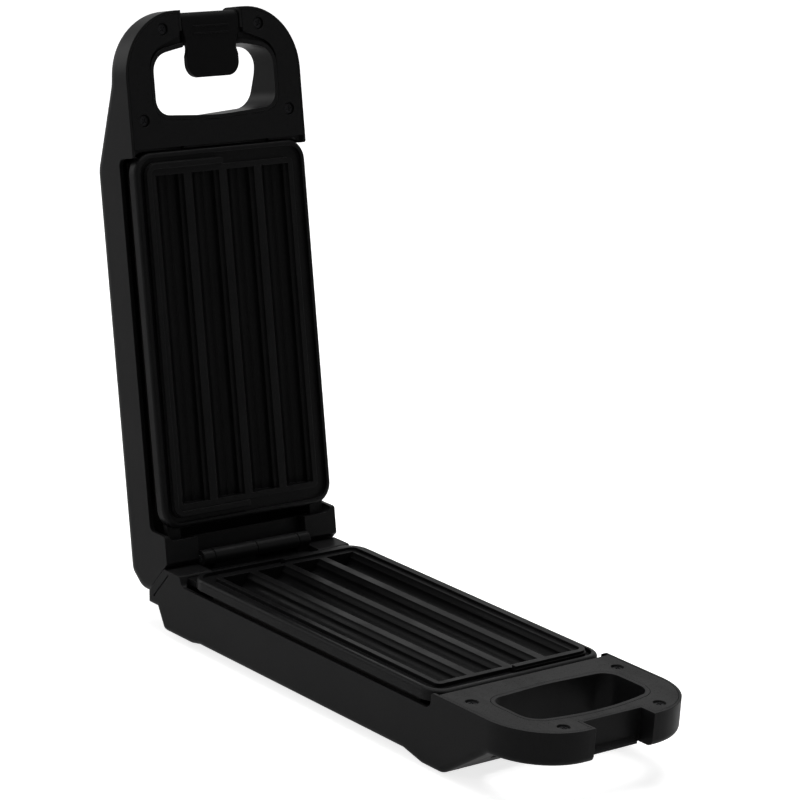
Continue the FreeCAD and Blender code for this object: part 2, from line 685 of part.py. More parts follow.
def plate_seat(body):
    """Lowered wall and bosses under the plate's lugs, and slots for its tongues."""
    slack = d.tongue_slack
    lugs = draw(body, "lug_seats", "XY")
    for sign in (1, -1):
        middle = sign * d.lug_spread
        box_outline(lugs, middle - d.lug_width / 2 - slack, middle + d.lug_width / 2 + slack,
                    -(plate_front + d.lug_reach + slack), -(bay_front - d.wall))
    cut(lugs, lug_bottom)
    bosses = draw(body, "lug_bosses", "XY", -lug_bottom)
    for sign in (1, -1):
        disc(bosses, sign * d.lug_spread, -lug_hole, d.lug_boss)
    grow(bosses, d.handle_hollow - lug_bottom + d.wall / 2, forward=False)

    tongues = draw(body, "tongue_slots", "XZ", bay_rear + d.wall)
    for sign in (1, -1):
        middle = sign * d.tongue_spread
        box_outline(tongues, middle - d.tongue_width / 2 - slack, middle + d.tongue_width / 2 + slack,
                    -(lug_bottom + slack), -(d.lug_top - slack))
    cut(tongues, d.wall + d.tongue_grip + slack)


def hinge_half(body):
    """Hollow round the hinge, then this half's middle barrel and outer knuckle on their webs."""
    bay = draw(body, "hinge_bay", "YZ")
    box_outline(bay, -bay_rear, d.stop_length, -d.hinge_bay, d.hinge_bay)
    cut(bay, (knuckle_end + d.hinge_gap) * 2, both=True)

    spans = (("barrel", -(barrel_start + d.barrel_length), d.barrel_length),
             ("knuckle", knuckle_start, d.knuckle_length))
    for name, start, length in spans:
        web = draw(body, f"{name}_web", "YZ", start)
        box_outline(web, -d.hinge_web / 2, d.hinge_web / 2, -(d.hinge_bay + d.wall), 0)
        grow(web, length)
        barrel = draw(body, name, "YZ", start)
        disc(barrel, 0, 0, d.hinge_barrel)
        grow(barrel, length)

    bore = draw(body, "hinge_bore", "YZ")
    disc(bore, 0, 0, d.hinge_pin_radius + d.running_fit)
    cut(bore, knuckle_end * 2 + d.hinge_gap, both=True)


def rear_chamber(body, corners, edge_radius):
    """Hollow behind the plate bay, for the leads and the cord's inlet."""
    room = draw(body, "rear_chamber", "YZ")
    outline(room, corners)
    cut(room, (body_half - edge_radius) * 2, both=True)


def cord_inlet():
    """Middle of the cord's inlet on the sloping rear wall, and the wall's tilt."""
    rise = d.rear_foot_drop - d.flange_drop
    run = d.flange_inset - d.heel
    depth = d.flange_drop + d.bushing_drop
    return (d.heel + run * (d.rear_foot_drop - depth) / rise, -depth), -slope_angle(run, rise)


def stop_grooves(body):
    """Groove in both side faces along the stop face, which leaves a bead at its edge."""
    def spot(along, inward):
        return (along * cosine(half_angle) - inward * sine(half_angle),
                -(along * sine(half_angle) + inward * cosine(half_angle)))

    near, far = d.stop_bead, d.stop_bead + d.bead_groove
    start, end = d.base_ear, d.stop_length - d.stop_bead
    for side, sign in (("right", 1), ("left", -1)):
        groove = draw(body, f"stop_groove_{side}", "YZ", sign * body_half)
        outline(groove, [spot(start, near), spot(end, near), spot(end, far), spot(start, far)])
        cut(groove, d.bead_groove_depth, forward=sign < 0)


def base_housing():
    body = housing("base_housing", base_profile(), d.base_edge_round)
    hollow_out(body, d.base_depth, d.base_edge_round, bay_front)
    roof = d.hinge_bay + d.wall * 2
    slope = d.wall / sine(half_angle)
    rear_chamber(body, [
        (-(bay_rear + d.wall), -roof),
        (stop_point(roof)[0] - slope, -roof),
        (stop_point(d.flange_drop - d.wall)[0] - slope - d.wall, -(d.flange_drop - d.wall)),
        (d.flange_inset - d.wall, -(d.flange_drop - d.wall)),
        (d.heel - d.wall, -(d.base_depth - d.wall)),
        (-(bay_rear + d.wall), -(d.base_depth - d.wall)),
    ], d.base_edge_round)
    handle_inside(body)
    plate_seat(body)
    hinge_half(body)

    stop_grooves(body)

    # Latch notch with its catch lip
    notch = draw(body, "latch_notch", "XY", d.foot_drop)
    half = d.notch_width / 2
    box_outline(notch, -half, half, -(reach + d.notch_depth), -notch_rear)
    cut(notch, d.foot_drop * 3)
    lip = draw(body, "catch_lip", "YZ")
    root_side = notch_rear - d.ring_wall
    outline(lip, [
        (-root_side, -d.catch_top),
        (-root_side, -(d.catch_top + d.catch_height)),
        (-(notch_rear + d.catch_reach), -(d.catch_top + d.catch_height)),
        (-(notch_rear + d.catch_reach), -(d.catch_top + d.catch_height / 2)),
        (-notch_rear, -d.catch_top),
    ])
    grow(lip, d.latch_waist, both=True)

    # Cord inlet square through the sloping rear wall
    spot, tilt = cord_inlet()
    inlet = draw(body, "cord_inlet", "YZ", 0, spot, tilt)
    box_outline(inlet, -d.wall * 3, d.wall, 0, d.bushing_neck + d.bushing_slack)
    spin(inlet, "H_Axis", "Groove")
    stand(body, "base")


def lid_housing():
    body = housing("lid_housing", lid_profile(), d.lid_edge_round)
    hollow_out(body, d.lid_depth, d.lid_edge_round, plate_front - d.lid_shoulder - d.wall * 2)
    roof = d.hinge_bay + d.wall * 2
    slope = d.wall / sine(half_angle)
    rear_chamber(body, [
        (-(bay_rear + d.wall), -roof),
        (stop_point(roof)[0] - slope, -roof),
        (stop_foot()[0] - slope, stop_foot()[1]),
        (stop_foot()[0] - slope, -(d.lid_rear_drop - d.wall)),
        (d.lid_rear_inset - d.wall, -(d.lid_depth - d.wall)),
        (-(bay_rear + d.wall), -(d.lid_depth - d.wall)),
    ], d.lid_edge_round)
    handle_inside(body)
    plate_seat(body)
    hinge_half(body)

    # Latch notch, and the channel from it across the bar into the finger opening
    half = d.notch_width / 2
    notch = draw(body, "latch_notch", "XY", d.foot_drop)
    box_outline(notch, -half, half, -(reach + d.notch_depth), -notch_rear)
    cut(notch, d.foot_drop * 3)
    channel = draw(body, "latch_channel", "XY")
    box_outline(channel, -half, half, -(reach + d.notch_depth), -(grip_front - d.grip_front_bow))
    cut(channel, d.latch_channel)
    pin = draw(body, "latch_pin_bore", "YZ")
    disc(pin, -latch_pin_place, -latch_pin_depth, d.latch_pin_radius + d.running_fit)
    cut(pin, d.notch_width + d.latch_pin_hold * 2, both=True)

    # Pilot lens holes in the roof
    lenses = draw(body, "lens_holes", "XY", -(d.lid_depth - d.wall * 2))
    for sign in (1, -1):
        disc(lenses, sign * d.lens_spread, -(plate_front - d.lens_setback), d.lens_radius + d.lens_slack)
    cut(lenses, d.wall * 4)
    stand(body, "lid")


def handle_cover(name, half):
    """Flat cover that closes a handle's hollow; the lid's is open at the front for the latch."""
    body = new_body(name)
    plan = draw(body, "plan", "XY", -face)
    notch = d.notch_width / 2 + d.cover_rim
    outer = handle_plan(d.cover_rim, notch, cover_rear)
    hole = grip_plan(d.ring_wall + d.cover_slack)
    if half == "base":
        outline(plan, outer)
        outline(plan, hole)
    else:
        inner = [hole[3], hole[4], hole[5], hole[0], hole[1]]
        outline(plan, outer[:4] + [(notch, hole[2][1])] + inner + [(-notch, hole[2][1])] + outer[6:])
    grow(plan, d.cover_thickness, forward=False)

    wells = draw(body, "wells", "XY", -face)
    for x, y in cover_screws:
        disc(wells, x, -y, d.screw_well)
    cut(wells, d.screw_well_depth)
    stand(body, half)


def channel_profile(sketch, x):
    """Lower half of a lobed star: arcs between cusps, closed above the parting plane."""
    lobe = size(LOBE_ANGLE)
    chord_half = d.channel_cusp * sine(lobe / 2)
    rise = d.channel_radius - d.channel_cusp * cosine(lobe / 2)
    lobe_radius = (chord_half * chord_half + rise * rise) / (rise * 2)
    lobe_centre = d.channel_radius - lobe_radius

    def on_circle(radius, degrees):
        return x + radius * cosine(size(degrees)), radius * sine(size(degrees))

    cusps = [180 + LOBE_ANGLE * (i + 0.5) for i in range(LOBES_IN_HALF + 1)]
    knots = [(x - d.channel_radius, size(0))]
    knots += [on_circle(d.channel_cusp, angle) for angle in cusps]
    knots += [(x + d.channel_radius, size(0))]
    arcs = []
    for i in range(LOBES_IN_HALF + 2):
        centre = on_circle(lobe_centre, 180 + LOBE_ANGLE * i)
        middle = FreeCAD.Vector(centre[0].value, centre[1].value, 0)
        ends = [math.atan2(k[1].value - middle.y, k[0].value - middle.x) for k in knots[i:i + 2]]
        while ends[1] < ends[0]:
            ends[1] += 2 * math.pi
        circle = Part.Circle(middle, FreeCAD.Vector(0, 0, 1), lobe_radius.value)
        arcs.append(sketch.addGeometry(Part.ArcOfCircle(circle, *ends)))
    top = d.trough_depth
    loft = [FreeCAD.Vector(k[0].value, z, 0) for k, z in
            ((knots[-1], 0), (knots[-1], top.value), (knots[0], top.value), (knots[0], 0))]
    sides = [sketch.addGeometry(Part.LineSegment(loft[i], loft[i + 1])) for i in range(3)]
    ring = arcs + sides
    for before, after in zip(ring, ring[1:] + ring[:1]):
        sketch.addConstraint(Sketcher.Constraint("Coincident", before, 2, after, 1))
    for arc, knot in zip(arcs, knots):
        pin_down(sketch, arc, 1, *knot)
        dimension(sketch, "Radius", (arc,), lobe_radius)
    pin_down(sketch, sides[0], 1, *knots[-1])
    pin_down(sketch, sides[1], 1, knots[-1][0], top)
    pin_down(sketch, sides[2], 1, knots[0][0], top)


def cooking_plate(name, half):
    """Cast plate: rim and skirt, trough, raised field with fluted channels, half lip, and its fixings."""
    body = new_body(name)
    slab = draw(body, "slab", "XY", -face)
    box_outline(slab, -plate_half, plate_half, -plate_front, -d.plate_rear, d.plate_corner)
    grow(slab, d.plate_skirt, forward=False)
    soften(body, d.rim_round, lambda edge: abs(edge.CenterOfMass.z + face.value) < FINE, "rim")

    # Trough inside the rim, and the hollow back inside the skirt
    inner_corner = d.plate_corner - d.rim_width
    inside = plate_half - d.rim_width
    front, rear = plate_front - d.rim_width, d.plate_rear + d.rim_width
    trough = draw(body, "trough", "XY", -face)
    box_outline(trough, -inside, inside, -front, -rear, inner_corner)
    cut(trough, d.trough_depth)
    back = draw(body, "back", "XY", -skirt_bottom)
    box_outline(back, -inside, inside, -front, -rear, inner_corner)
    cut(back, skirt_bottom - web_bottom, forward=True)

    # Raised field, and the sealing lip round its right half
    field_front, field_rear = channel_front + d.field_margin, channel_rear - d.field_margin
    field = draw(body, "field", "XY", -trough_floor)
    box_outline(field, -field_half, field_half, -field_front, -field_rear, d.field_round)
    grow(field, d.trough_depth)
    for layer, start, near, far, height in (
            ("lip_foot", trough_floor, size(0), d.lip_width, d.trough_depth),
            ("lip_crest", face + d.lip_rise * 0.5, d.lip_slack, d.lip_width - d.lip_slack,
             d.lip_rise * 1.5 + face * 2)):
        lip = draw(body, layer, "XY", -start)
        outer = d.field_round + far
        outline(lip, [
            (d.lip_slack, -(field_rear - near)),
            (d.lip_slack, -(field_rear - far)),
            (field_half + far, -(field_rear - far), outer),
            (field_half + far, -(field_front + far), outer),
            (d.lip_slack, -(field_front + far)),
            (d.lip_slack, -(field_front + near)),
            (field_half + near, -(field_front + near), d.field_round + near),
            (field_half + near, -(field_rear - near), d.field_round + near),
        ])
        grow(lip, height)

    # Rounded backs of the channels, then the channels themselves
    first = -last_channel
    mould = draw(body, "mould", "XZ", channel_rear - d.mould_wall)
    depth = root(mould_radius * mould_radius - trough_floor * trough_floor)
    chord = [FreeCAD.Vector((first + s * depth).value, -trough_floor.value, 0) for s in (-1, 1)]
    circle = Part.Circle(FreeCAD.Vector(first.value, 0, 0), FreeCAD.Vector(0, 0, 1), mould_radius.value)
    ends = [math.atan2(p.y, p.x - first.value) for p in chord]
    arc = mould.addGeometry(Part.ArcOfCircle(circle, ends[0] % (2 * math.pi), ends[1] % (2 * math.pi)))
    top = mould.addGeometry(Part.LineSegment(chord[1], chord[0]))
    mould.addConstraint(Sketcher.Constraint("Coincident", arc, 2, top, 1))
    mould.addConstraint(Sketcher.Constraint("Coincident", top, 2, arc, 1))
    dimension(mould, "Radius", (arc,), mould_radius)
    pin_down(mould, arc, 1, first - depth, -trough_floor)
    pin_down(mould, arc, 2, first + depth, -trough_floor)
    backs = grow(mould, d.channel_length + d.mould_wall * 2)
    repeat(body, backs, d.channel_count, d.channel_pitch)

    # Shield bosses and the thermostat's pad between the middle channels
    bosses = draw(body, "bosses", "XY", -trough_floor)
    for y in shield_bosses:
        disc(bosses, 0, -y, d.boss_radius)
    grow(bosses, shield_top - trough_floor, forward=False)
    pad = draw(body, "thermostat_pad", "XY", -trough_floor)
    disc(pad, 0, -thermostat_place, d.thermostat_radius)
    grow(pad, shield_top - trough_floor, forward=False)

    # Lugs under the handle cover and tongues beside the hinge
    fixings = draw(body, "fixings", "XY", -d.lug_top)
    for sign in (1, -1):
        middle = sign * d.lug_spread
        box_outline(fixings, middle - d.lug_width / 2, middle + d.lug_width / 2,
                    -(plate_front + d.lug_reach), -(plate_front - d.rim_width))
        middle = sign * d.tongue_spread
        box_outline(fixings, middle - d.tongue_width / 2, middle + d.tongue_width / 2,
                    -(d.plate_rear + d.plate_corner), -(bay_rear - d.tongue_grip))
    grow(fixings, d.lug_thickness, forward=False)

    channel = draw(body, "channel", "XZ", channel_rear)
    channel_profile(channel, first)
    flute = cut(channel, d.channel_length, forward=True)
    repeat(body, flute, d.channel_count, d.channel_pitch)
    stand(body, half)


def heating_element(name, half):
    """Sheathed heating tube bent to a U, with a cold pin at each end."""
    body = new_body(name)
    front = channel_front + d.mould_wall + d.element_front_gap
    path = draw(body, "path", "XY", -element_depth)
    turn, inner = front - d.element_bend, element_leg - d.element_bend
    open_path(path, [(-element_leg, -element_rear), (-element_leg, -turn), (-inner, -front),
                     (inner, -front), (element_leg, -turn), (element_leg, -element_rear)])
    ring = draw(body, "ring", "XZ", element_rear)
    disc(ring, -element_leg, -element_depth, d.element_radius)
    sweep(path, ring)
    pins = draw(body, "pins", "XZ", element_rear)
    for sign in (1, -1):
        disc(pins, sign * element_leg, -element_depth, d.pin_radius)
    grow(pins, d.pin_length, forward=False)
    stand(body, half)


def open_path(sketch, stops):
    """Open chain of straight runs."""
    points = [FreeCAD.Vector(x.value, y.value, 0) for x, y in stops]
    runs = [sketch.addGeometry(Part.LineSegment(*pair)) for pair in zip(points, points[1:])]
    for before, after in zip(runs, runs[1:]):
        sketch.addConstraint(Sketcher.Constraint("Coincident", before, 2, after, 1))
    for run, stop in zip(runs, stops):
        pin_down(sketch, run, 1, *stop)
    pin_down(sketch, runs[-1], 2, *stops[-1])


def heat_shield(name, half):
    """Sheet tray behind the heating tube with two turned-up sides."""
    body = new_body(name)
    tray = draw(body, "tray", "XY", -shield_top)
    box_outline(tray, -shield_half, shield_half, -shield_front, -shield_rear)
    grow(tray, d.shield_thickness, forward=False)
    sides = draw(body, "sides", "XY", -shield_bottom)
    clear = d.plate_corner
    for sign in (1, -1):
        edge = sign * shield_half
        fold = sign * (shield_half - d.shield_thickness)
        box_outline(sides, fold, edge, -(shield_front - clear), -(shield_rear + clear))
    grow(sides, shield_bottom - d.shield_flange_top)
    if half == "base":
        hole = draw(body, "hole", "XY", -shield_top)
        disc(hole, 0, -thermostat_place, d.thermostat_radius + d.thermostat_slack)
        cut(hole, d.shield_thickness * 2)
    stand(body, half)


def thermostat():
    """Snap-disc thermostat on the plate's pad: cap through the shield, flange, body and two blades."""
    body = new_body("thermostat")
    outline_half = draw(body, "section", "XZ", thermostat_place)
    cap = d.thermostat_radius
    flange_top = shield_bottom
    flange_bottom = flange_top + d.shield_thickness
    end = flange_bottom + d.thermostat_body
    outline(outline_half, [
        (0, -shield_top), (cap, -shield_top), (cap, -flange_top), (d.thermostat_flange, -flange_top),
        (d.thermostat_flange, -flange_bottom), (cap, -flange_bottom), (cap, -end), (0, -end),
    ])
    spin(outline_half, "V_Axis")
    blades = draw(body, "blades", "XY", -end)
    for sign in (1, -1):
        middle = sign * d.blade_spread
        box_outline(blades, middle - d.blade_thickness / 2, middle + d.blade_thickness / 2,
                    -(thermostat_place + d.blade_width / 2), -(thermostat_place - d.blade_width / 2))
    grow(blades, d.blade_length, forward=False)
    stand(body, "base")


def thermal_fuse():
    """Sleeved thermal fuse along the back of the lower heat shield."""
    body = new_body("thermal_fuse")
    sleeve = draw(body, "sleeve", "XZ", fuse_place - d.fuse_length / 2)
    disc(sleeve, d.fuse_offset, -fuse_depth, d.fuse_radius)
    grow(sleeve, d.fuse_length)
    stand(body, "base")


def terminal_block():
    """Two-pole block on the base's floor, with a bore for the leads of each pole."""
    body = new_body("terminal_block")
    front, rear = d.block_setback + d.block_length / 2, d.block_setback - d.block_length / 2
    plan = draw(body, "plan", "XY", -base_floor)
    box_outline(plan, -d.block_width / 2, d.block_width / 2, -front, -rear)
    grow(plan, d.block_height)
    poles = draw(body, "poles", "XZ", rear - d.wall)
    for sign in (1, -1):
        disc(poles, sign * d.block_pole_spread, -block_pole, d.block_pole_radius)
    cut(poles, d.block_length + d.wall * 2, forward=True)
    stand(body, "base")


def cord_bushing():
    """Bushing in the sloping rear wall, where a cord would enter."""
    body = new_body("cord_bushing")
    spot, tilt = cord_inlet()
    section = draw(body, "section", "YZ", 0, spot, tilt)
    inside = -(d.wall + d.bushing_inside)
    outline(section, [
        (inside, d.bushing_bore),
        (d.bushing_flange_height, d.bushing_bore),
        (d.bushing_flange_height, d.bushing_flange - d.bushing_flange_height / 2),
        (d.bushing_flange_height / 2, d.bushing_flange),
        (0, d.bushing_flange),
        (0, d.bushing_neck),
        (inside, d.bushing_neck),
    ])
    spin(section, "H_Axis")
    stand(body, "base")


def feet(name, place, top):
    """Pair of round rubber feet that reach down to the table."""
    body = new_body(name)
    pads = draw(body, "pads", "XY", -top)
    for sign in (1, -1):
        disc(pads, sign * d.pad_spread, -place, d.pad_radius)
    grow(pads, d.foot_drop - top, forward=False)
    stand(body, "base")


def hinge_pin(name, sign):
    """Pin through an outer knuckle into the middle barrel beside it."""
    body = new_body(name)
    end = draw(body, "end", "YZ", sign * knuckle_end)
    disc(end, 0, 0, d.hinge_pin_radius)
    grow(end, d.hinge_pin_length, forward=sign < 0)
    stand(body, "base")


def latch():
    """Swinging latch drawn folded along the lid: tapered tab on a barrel, with its hook behind."""
    body = new_body("latch")
    top = face + d.latch_recess
    wide, waist, tab = d.notch_width / 2 - d.latch_slack, d.latch_waist / 2, d.latch_tab / 2
    end = latch_pin_place - d.latch_length
    neck = latch_pin_place - d.latch_length / 2
    right = [(wide, -latch_pin_place), (wide, -(latch_pin_place - d.latch_barrel), d.edge_round),
             (waist, -neck, d.latch_tab_round), (tab, -(end + d.latch_tab_round * 1.5), d.edge_round),
             (tab, -end, d.latch_tab_round)]
    plan = draw(body, "plan", "XY", -top)
    outline(plan, right + [(-corner[0], *corner[1:]) for corner in reversed(right)])
    grow(plan, d.latch_thickness, forward=False)
    barrel = draw(body, "barrel", "YZ")
    disc(barrel, -latch_pin_place, -latch_pin_depth, d.latch_barrel)
    grow(barrel, wide * 2, both=True)

    hook_place = latch_pin_place - (latch_pin_depth + d.catch_top + d.catch_height + d.hook_clearance)
    back = top + d.latch_thickness
    hook = draw(body, "hook", "YZ")
    outline(hook, [
        (-hook_place, -(back - d.latch_thickness / 2)),
        (-hook_place, -(back + d.hook_depth)),
        (-(hook_place - d.hook_thickness / 2), -(back + d.hook_depth)),
        (-(hook_place - d.hook_thickness), -(back + d.hook_depth / 2)),
        (-(hook_place - d.hook_thickness), -(back - d.latch_thickness / 2)),
    ])
    grow(hook, d.latch_waist - d.latch_tab_round, both=True)

    ribs = draw(body, "ribs", "XY", -top)
    for step in (1, 2):
        place = latch_pin_place - d.latch_barrel * step
        box_outline(ribs, -(waist - d.latch_barrel), waist - d.latch_barrel,
                    -(place + d.latch_rib), -(place - d.latch_rib))
    grow(ribs, d.latch_rib)
    bore = draw(body, "bore", "YZ")
    disc(bore, -latch_pin_place, -latch_pin_depth, d.latch_pin_radius + d.running_fit)
    cut(bore, d.notch_width, both=True)
    stand(body, "lid")


def latch_pin():
    """Steel pin across the lid's notch that carries the latch."""
    body = new_body("latch_pin")
    end = draw(body, "end", "YZ")
    disc(end, -latch_pin_place, -latch_pin_depth, d.latch_pin_radius)
    grow(end, d.notch_width + d.latch_pin_hold * 2 - d.cover_slack, both=True)
    stand(body, "lid")


def lens(name, sign):
    """Domed pilot lens in the lid's roof, flanged on the inside."""
    body = new_body(name)
    section = draw(body, "section", "XZ", lens_place, (sign * d.lens_spread, 0))
    crown = d.lid_depth + d.lens_dome
    outline(section, [
        (0, -(lid_floor - d.lens_flange_height)),
        (d.lens_flange, -(lid_floor - d.lens_flange_height)),
        (d.lens_flange, -lid_floor),
        (d.lens_radius, -lid_floor),
        (d.lens_radius, -d.lid_depth),
        (d.lens_radius - d.lens_dome, -crown),
        (0, -crown),
    ])
    spin(section, "V_Axis")
    stand(body, "lid")


def lamp_holder():
    """Moulded holder on the inside of the roof that clamps the lenses and guides the lamps."""
    body = new_body("lamp_holder")
    plan = draw(body, "plan", "XY", -lid_floor)
    front, rear = lens_place + d.holder_length / 2, lens_place - d.holder_length / 2
    box_outline(plan, -d.holder_width / 2, d.holder_width / 2, -front, -rear)
    grow(plan, d.holder_height)
    recess = draw(body, "recess", "XY", -lid_floor)
    guides = draw(body, "guides", "XY", -lid_floor)
    for sign in (1, -1):
        disc(recess, sign * d.lens_spread, -lens_place, d.lens_flange + d.lens_slack)
        disc(guides, sign * d.lens_spread, -lens_place, d.lamp_radius + d.lamp_slack)
    cut(recess, d.lens_flange_height, forward=True)
    cut(guides, d.holder_height * 2, forward=True)
    stand(body, "lid")


def pilot_lamps():
    """Two small lamps behind the lenses."""
    body = new_body("pilot_lamps")
    ends = draw(body, "ends", "XY", -(lid_floor - d.lens_flange_height - d.lamp_slack))
    for sign in (1, -1):
        disc(ends, sign * d.lens_spread, -lens_place, d.lamp_radius)
    grow(ends, d.lamp_length)
    stand(body, "lid")


def build_all():
    base_housing()
    lid_housing()
    for half, level in (("base", "lower"), ("lid", "upper")):
        handle_cover(f"{half}_handle_cover", half)
        cooking_plate(f"{level}_cooking_plate", half)
        heating_element(f"{level}_heating_element", half)
        heat_shield(f"{level}_heat_shield", half)
    thermostat()
    thermal_fuse()
    terminal_block()
    cord_bushing()
    feet("front_feet", front_pad, d.front_foot_drop)
    feet("rear_feet", d.rear_pad_setback, d.rear_foot_drop)
    hinge_pin("hinge_pin_right", 1)
    hinge_pin("hinge_pin_left", -1)
    latch()
    latch_pin()
    lens("power_lamp_lens", 1)
    lens("ready_lamp_lens", -1)
    lamp_holder()
    pilot_lamps()


def write_parts():
    """Check every object, then write each piece to its own file."""
    doc.recompute()
    for thing in doc.Objects:
        if "Invalid" in thing.State or "Error" in thing.State:
            raise RuntimeError(f"{thing.Name} failed: {thing.State}")
    for piece in pieces:
        if piece.Shape.isNull() or not piece.Shape.isValid():
            raise RuntimeError(f"{piece.Label} has no valid shape")
    os.makedirs("parts", exist_ok=True)
    for piece in pieces:
        piece.Shape.exportStep(f"parts/{piece.Label}.step")
        print(piece.Label, len(piece.Shape.Solids), round(piece.Shape.Volume, 1))


build_all()
write_parts()
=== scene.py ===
import json
import math

import bmesh
import bpy
import numpy as np
from mathutils import Matrix, Vector


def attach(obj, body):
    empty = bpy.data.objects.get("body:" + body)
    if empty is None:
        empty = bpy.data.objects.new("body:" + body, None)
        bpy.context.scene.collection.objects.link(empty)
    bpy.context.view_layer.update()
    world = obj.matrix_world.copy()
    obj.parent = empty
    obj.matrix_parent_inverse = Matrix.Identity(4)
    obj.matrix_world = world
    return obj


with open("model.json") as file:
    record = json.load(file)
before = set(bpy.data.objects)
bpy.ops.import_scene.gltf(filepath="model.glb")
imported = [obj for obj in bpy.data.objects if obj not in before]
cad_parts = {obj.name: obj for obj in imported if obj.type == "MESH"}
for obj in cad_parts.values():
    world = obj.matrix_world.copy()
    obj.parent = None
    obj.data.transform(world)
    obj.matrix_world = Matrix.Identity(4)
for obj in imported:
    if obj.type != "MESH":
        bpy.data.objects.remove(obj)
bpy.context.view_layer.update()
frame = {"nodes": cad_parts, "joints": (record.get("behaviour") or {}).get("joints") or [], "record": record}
nodes = frame["nodes"]
scene = bpy.context.scene
scene.view_settings.view_transform = "Standard"

# The hinge's place is in metres, as the frame gives it. Sizes of pieces are in millimetres, in a half's
# own frame: the hinge along X, the parting plane at Z = 0, the depth to -Z and the handle towards -Y.
# The base stands that way, and the lid is turned over about Y and opened about the hinge.
MM = 0.001
lid_hinge = next(joint for joint in frame["joints"] if joint["name"] == "lid_hinge")
HINGE = np.array(lid_hinge["pos_m"])
OPEN_ANGLE = math.radians(-lid_hinge["range_deg"][0])
COVER_SCREWS = [(51.0, -246.4), (-51.0, -246.4), (33.5, -295.9), (-33.5, -295.9)]
COVER_WELL_FLOOR = -1.8
UNDERSIDE = -37.5
UNDERSIDE_SCREWS = [(46.0, -52.0), (-46.0, -52.0), (46.0, -190.0), (-46.0, -190.0)]
SCREW_RADIUS = 2.9
SCREW_HEIGHT = 0.7
SCREW_CROWN = 0.25
LABEL_MIDDLE = (0.0, -121.0)
LABEL_HALF = (36.0, 22.0)
LABEL_CORNER = 5.0
LABEL_BEAD = 0.6


def on_base(points):
    """A point of the base half moved by the hinge's place."""
    return points * MM + HINGE


def on_lid(points):
    """A point of the lid half turned over about Y, opened about X, moved by the hinge's place."""
    x, y, z = -points[..., 0], points[..., 1], -points[..., 2]
    cosine, sine = math.cos(OPEN_ANGLE), math.sin(OPEN_ANGLE)
    return np.stack([x, y * cosine + z * sine, z * cosine - y * sine], axis=-1) * MM + HINGE


# Surfaces

SHARP_ANGLE = math.radians(35.0)
SAME_POINT = 1e-7
NO_AREA = 1e-8


def skin(name, grids):
    """One mesh from grids of points (copies, rows, columns, 3): a quad between four neighbours, with the
    last column joined to the first and points that coincide merged, so that poles and seams close."""
    copies, rows, columns, _ = grids.shape
    row, column = np.meshgrid(np.arange(rows - 1), np.arange(columns), indexing="ij")
    corner = row * columns + column
    beside = row * columns + (column + 1) % columns
    quads = np.stack([corner, beside, beside + columns, corner + columns], axis=-1).reshape(-1, 4)
    faces = (np.arange(copies)[:, None, None] * rows * columns + quads).reshape(-1, 4)
    mesh = bpy.data.meshes.new(name)
    mesh.from_pydata(grids.reshape(-1, 3), [], faces)
    work = bmesh.new()
    work.from_mesh(mesh)
    bmesh.ops.remove_doubles(work, verts=work.verts, dist=SAME_POINT)
    bmesh.ops.dissolve_degenerate(work, edges=work.edges, dist=NO_AREA)
    bmesh.ops.recalc_face_normals(work, faces=work.faces)
    work.to_mesh(mesh)
    work.free()
    mesh.polygons.foreach_set("use_smooth", np.ones(len(mesh.polygons), dtype=bool))
    mesh.set_sharp_from_angle(angle=SHARP_ANGLE)
    piece = bpy.data.objects.new(name, mesh)
    scene.collection.objects.link(piece)
    return piece


def cross_head_screw(sides=72, rings=26):
    """Screw head about Z, seat at Z = 0: a line from the seat's middle out to its edge, up the side and
    over a parabolic crown, turned round Z. Two crossed slots with steep sides are let into the crown."""
    radius, height = SCREW_RADIUS, SCREW_HEIGHT
    crown_edge = 0.95
    side_top = height * 0.75
    seat = np.array([[0.0, 0.0], [radius, 0.0], [radius, side_top], [radius * crown_edge, height]])
    across = np.linspace(crown_edge, 0.0, rings)[1:]
    rise = SCREW_CROWN * (1 - (across / crown_edge) ** 2)
    profile = np.concatenate([seat, np.stack([radius * across, height + rise], axis=-1)])
    turn = np.linspace(0, 2 * np.pi, sides, endpoint=False)
    x = profile[:, :1] * np.cos(turn)
    y = profile[:, :1] * np.sin(turn)
    z = np.repeat(profile[:, 1:], sides, axis=1)
    slot_half = radius * 0.13
    slot_reach = radius * 0.62
    slot_side = radius * 0.08
    slot_depth = height * 0.8

    def slot(along, beside):
        inside = np.clip((slot_half - np.abs(beside)) / slot_side + 0.5, 0, 1)
        return inside * np.clip((slot_reach - np.abs(along)) / slot_side + 0.5, 0, 1)

    cross = np.maximum(slot(x, y), slot(y, x))
    over = np.arange(len(profile))[:, None] >= len(seat)
    return np.stack([x, y, z - over * cross * slot_depth], axis=-1)


def screw_set(name, places, seat, body, place, turns, upright=1.0):
    """The same screw at several places, each turned by its own angle in degrees about its axis."""
    head = cross_head_screw()
    copies = []
    for (x, y), turn in zip(places, np.radians(turns)):
        turned = head.copy()
        turned[..., 0] = head[..., 0] * np.cos(turn) - head[..., 1] * np.sin(turn)
        turned[..., 1] = head[..., 0] * np.sin(turn) + head[..., 1] * np.cos(turn)
        turned[..., 2] *= upright
        copies.append(place(turned + np.array([x, y, seat])))
    piece = skin(name, np.stack(copies))
    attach(piece, body)
    return piece


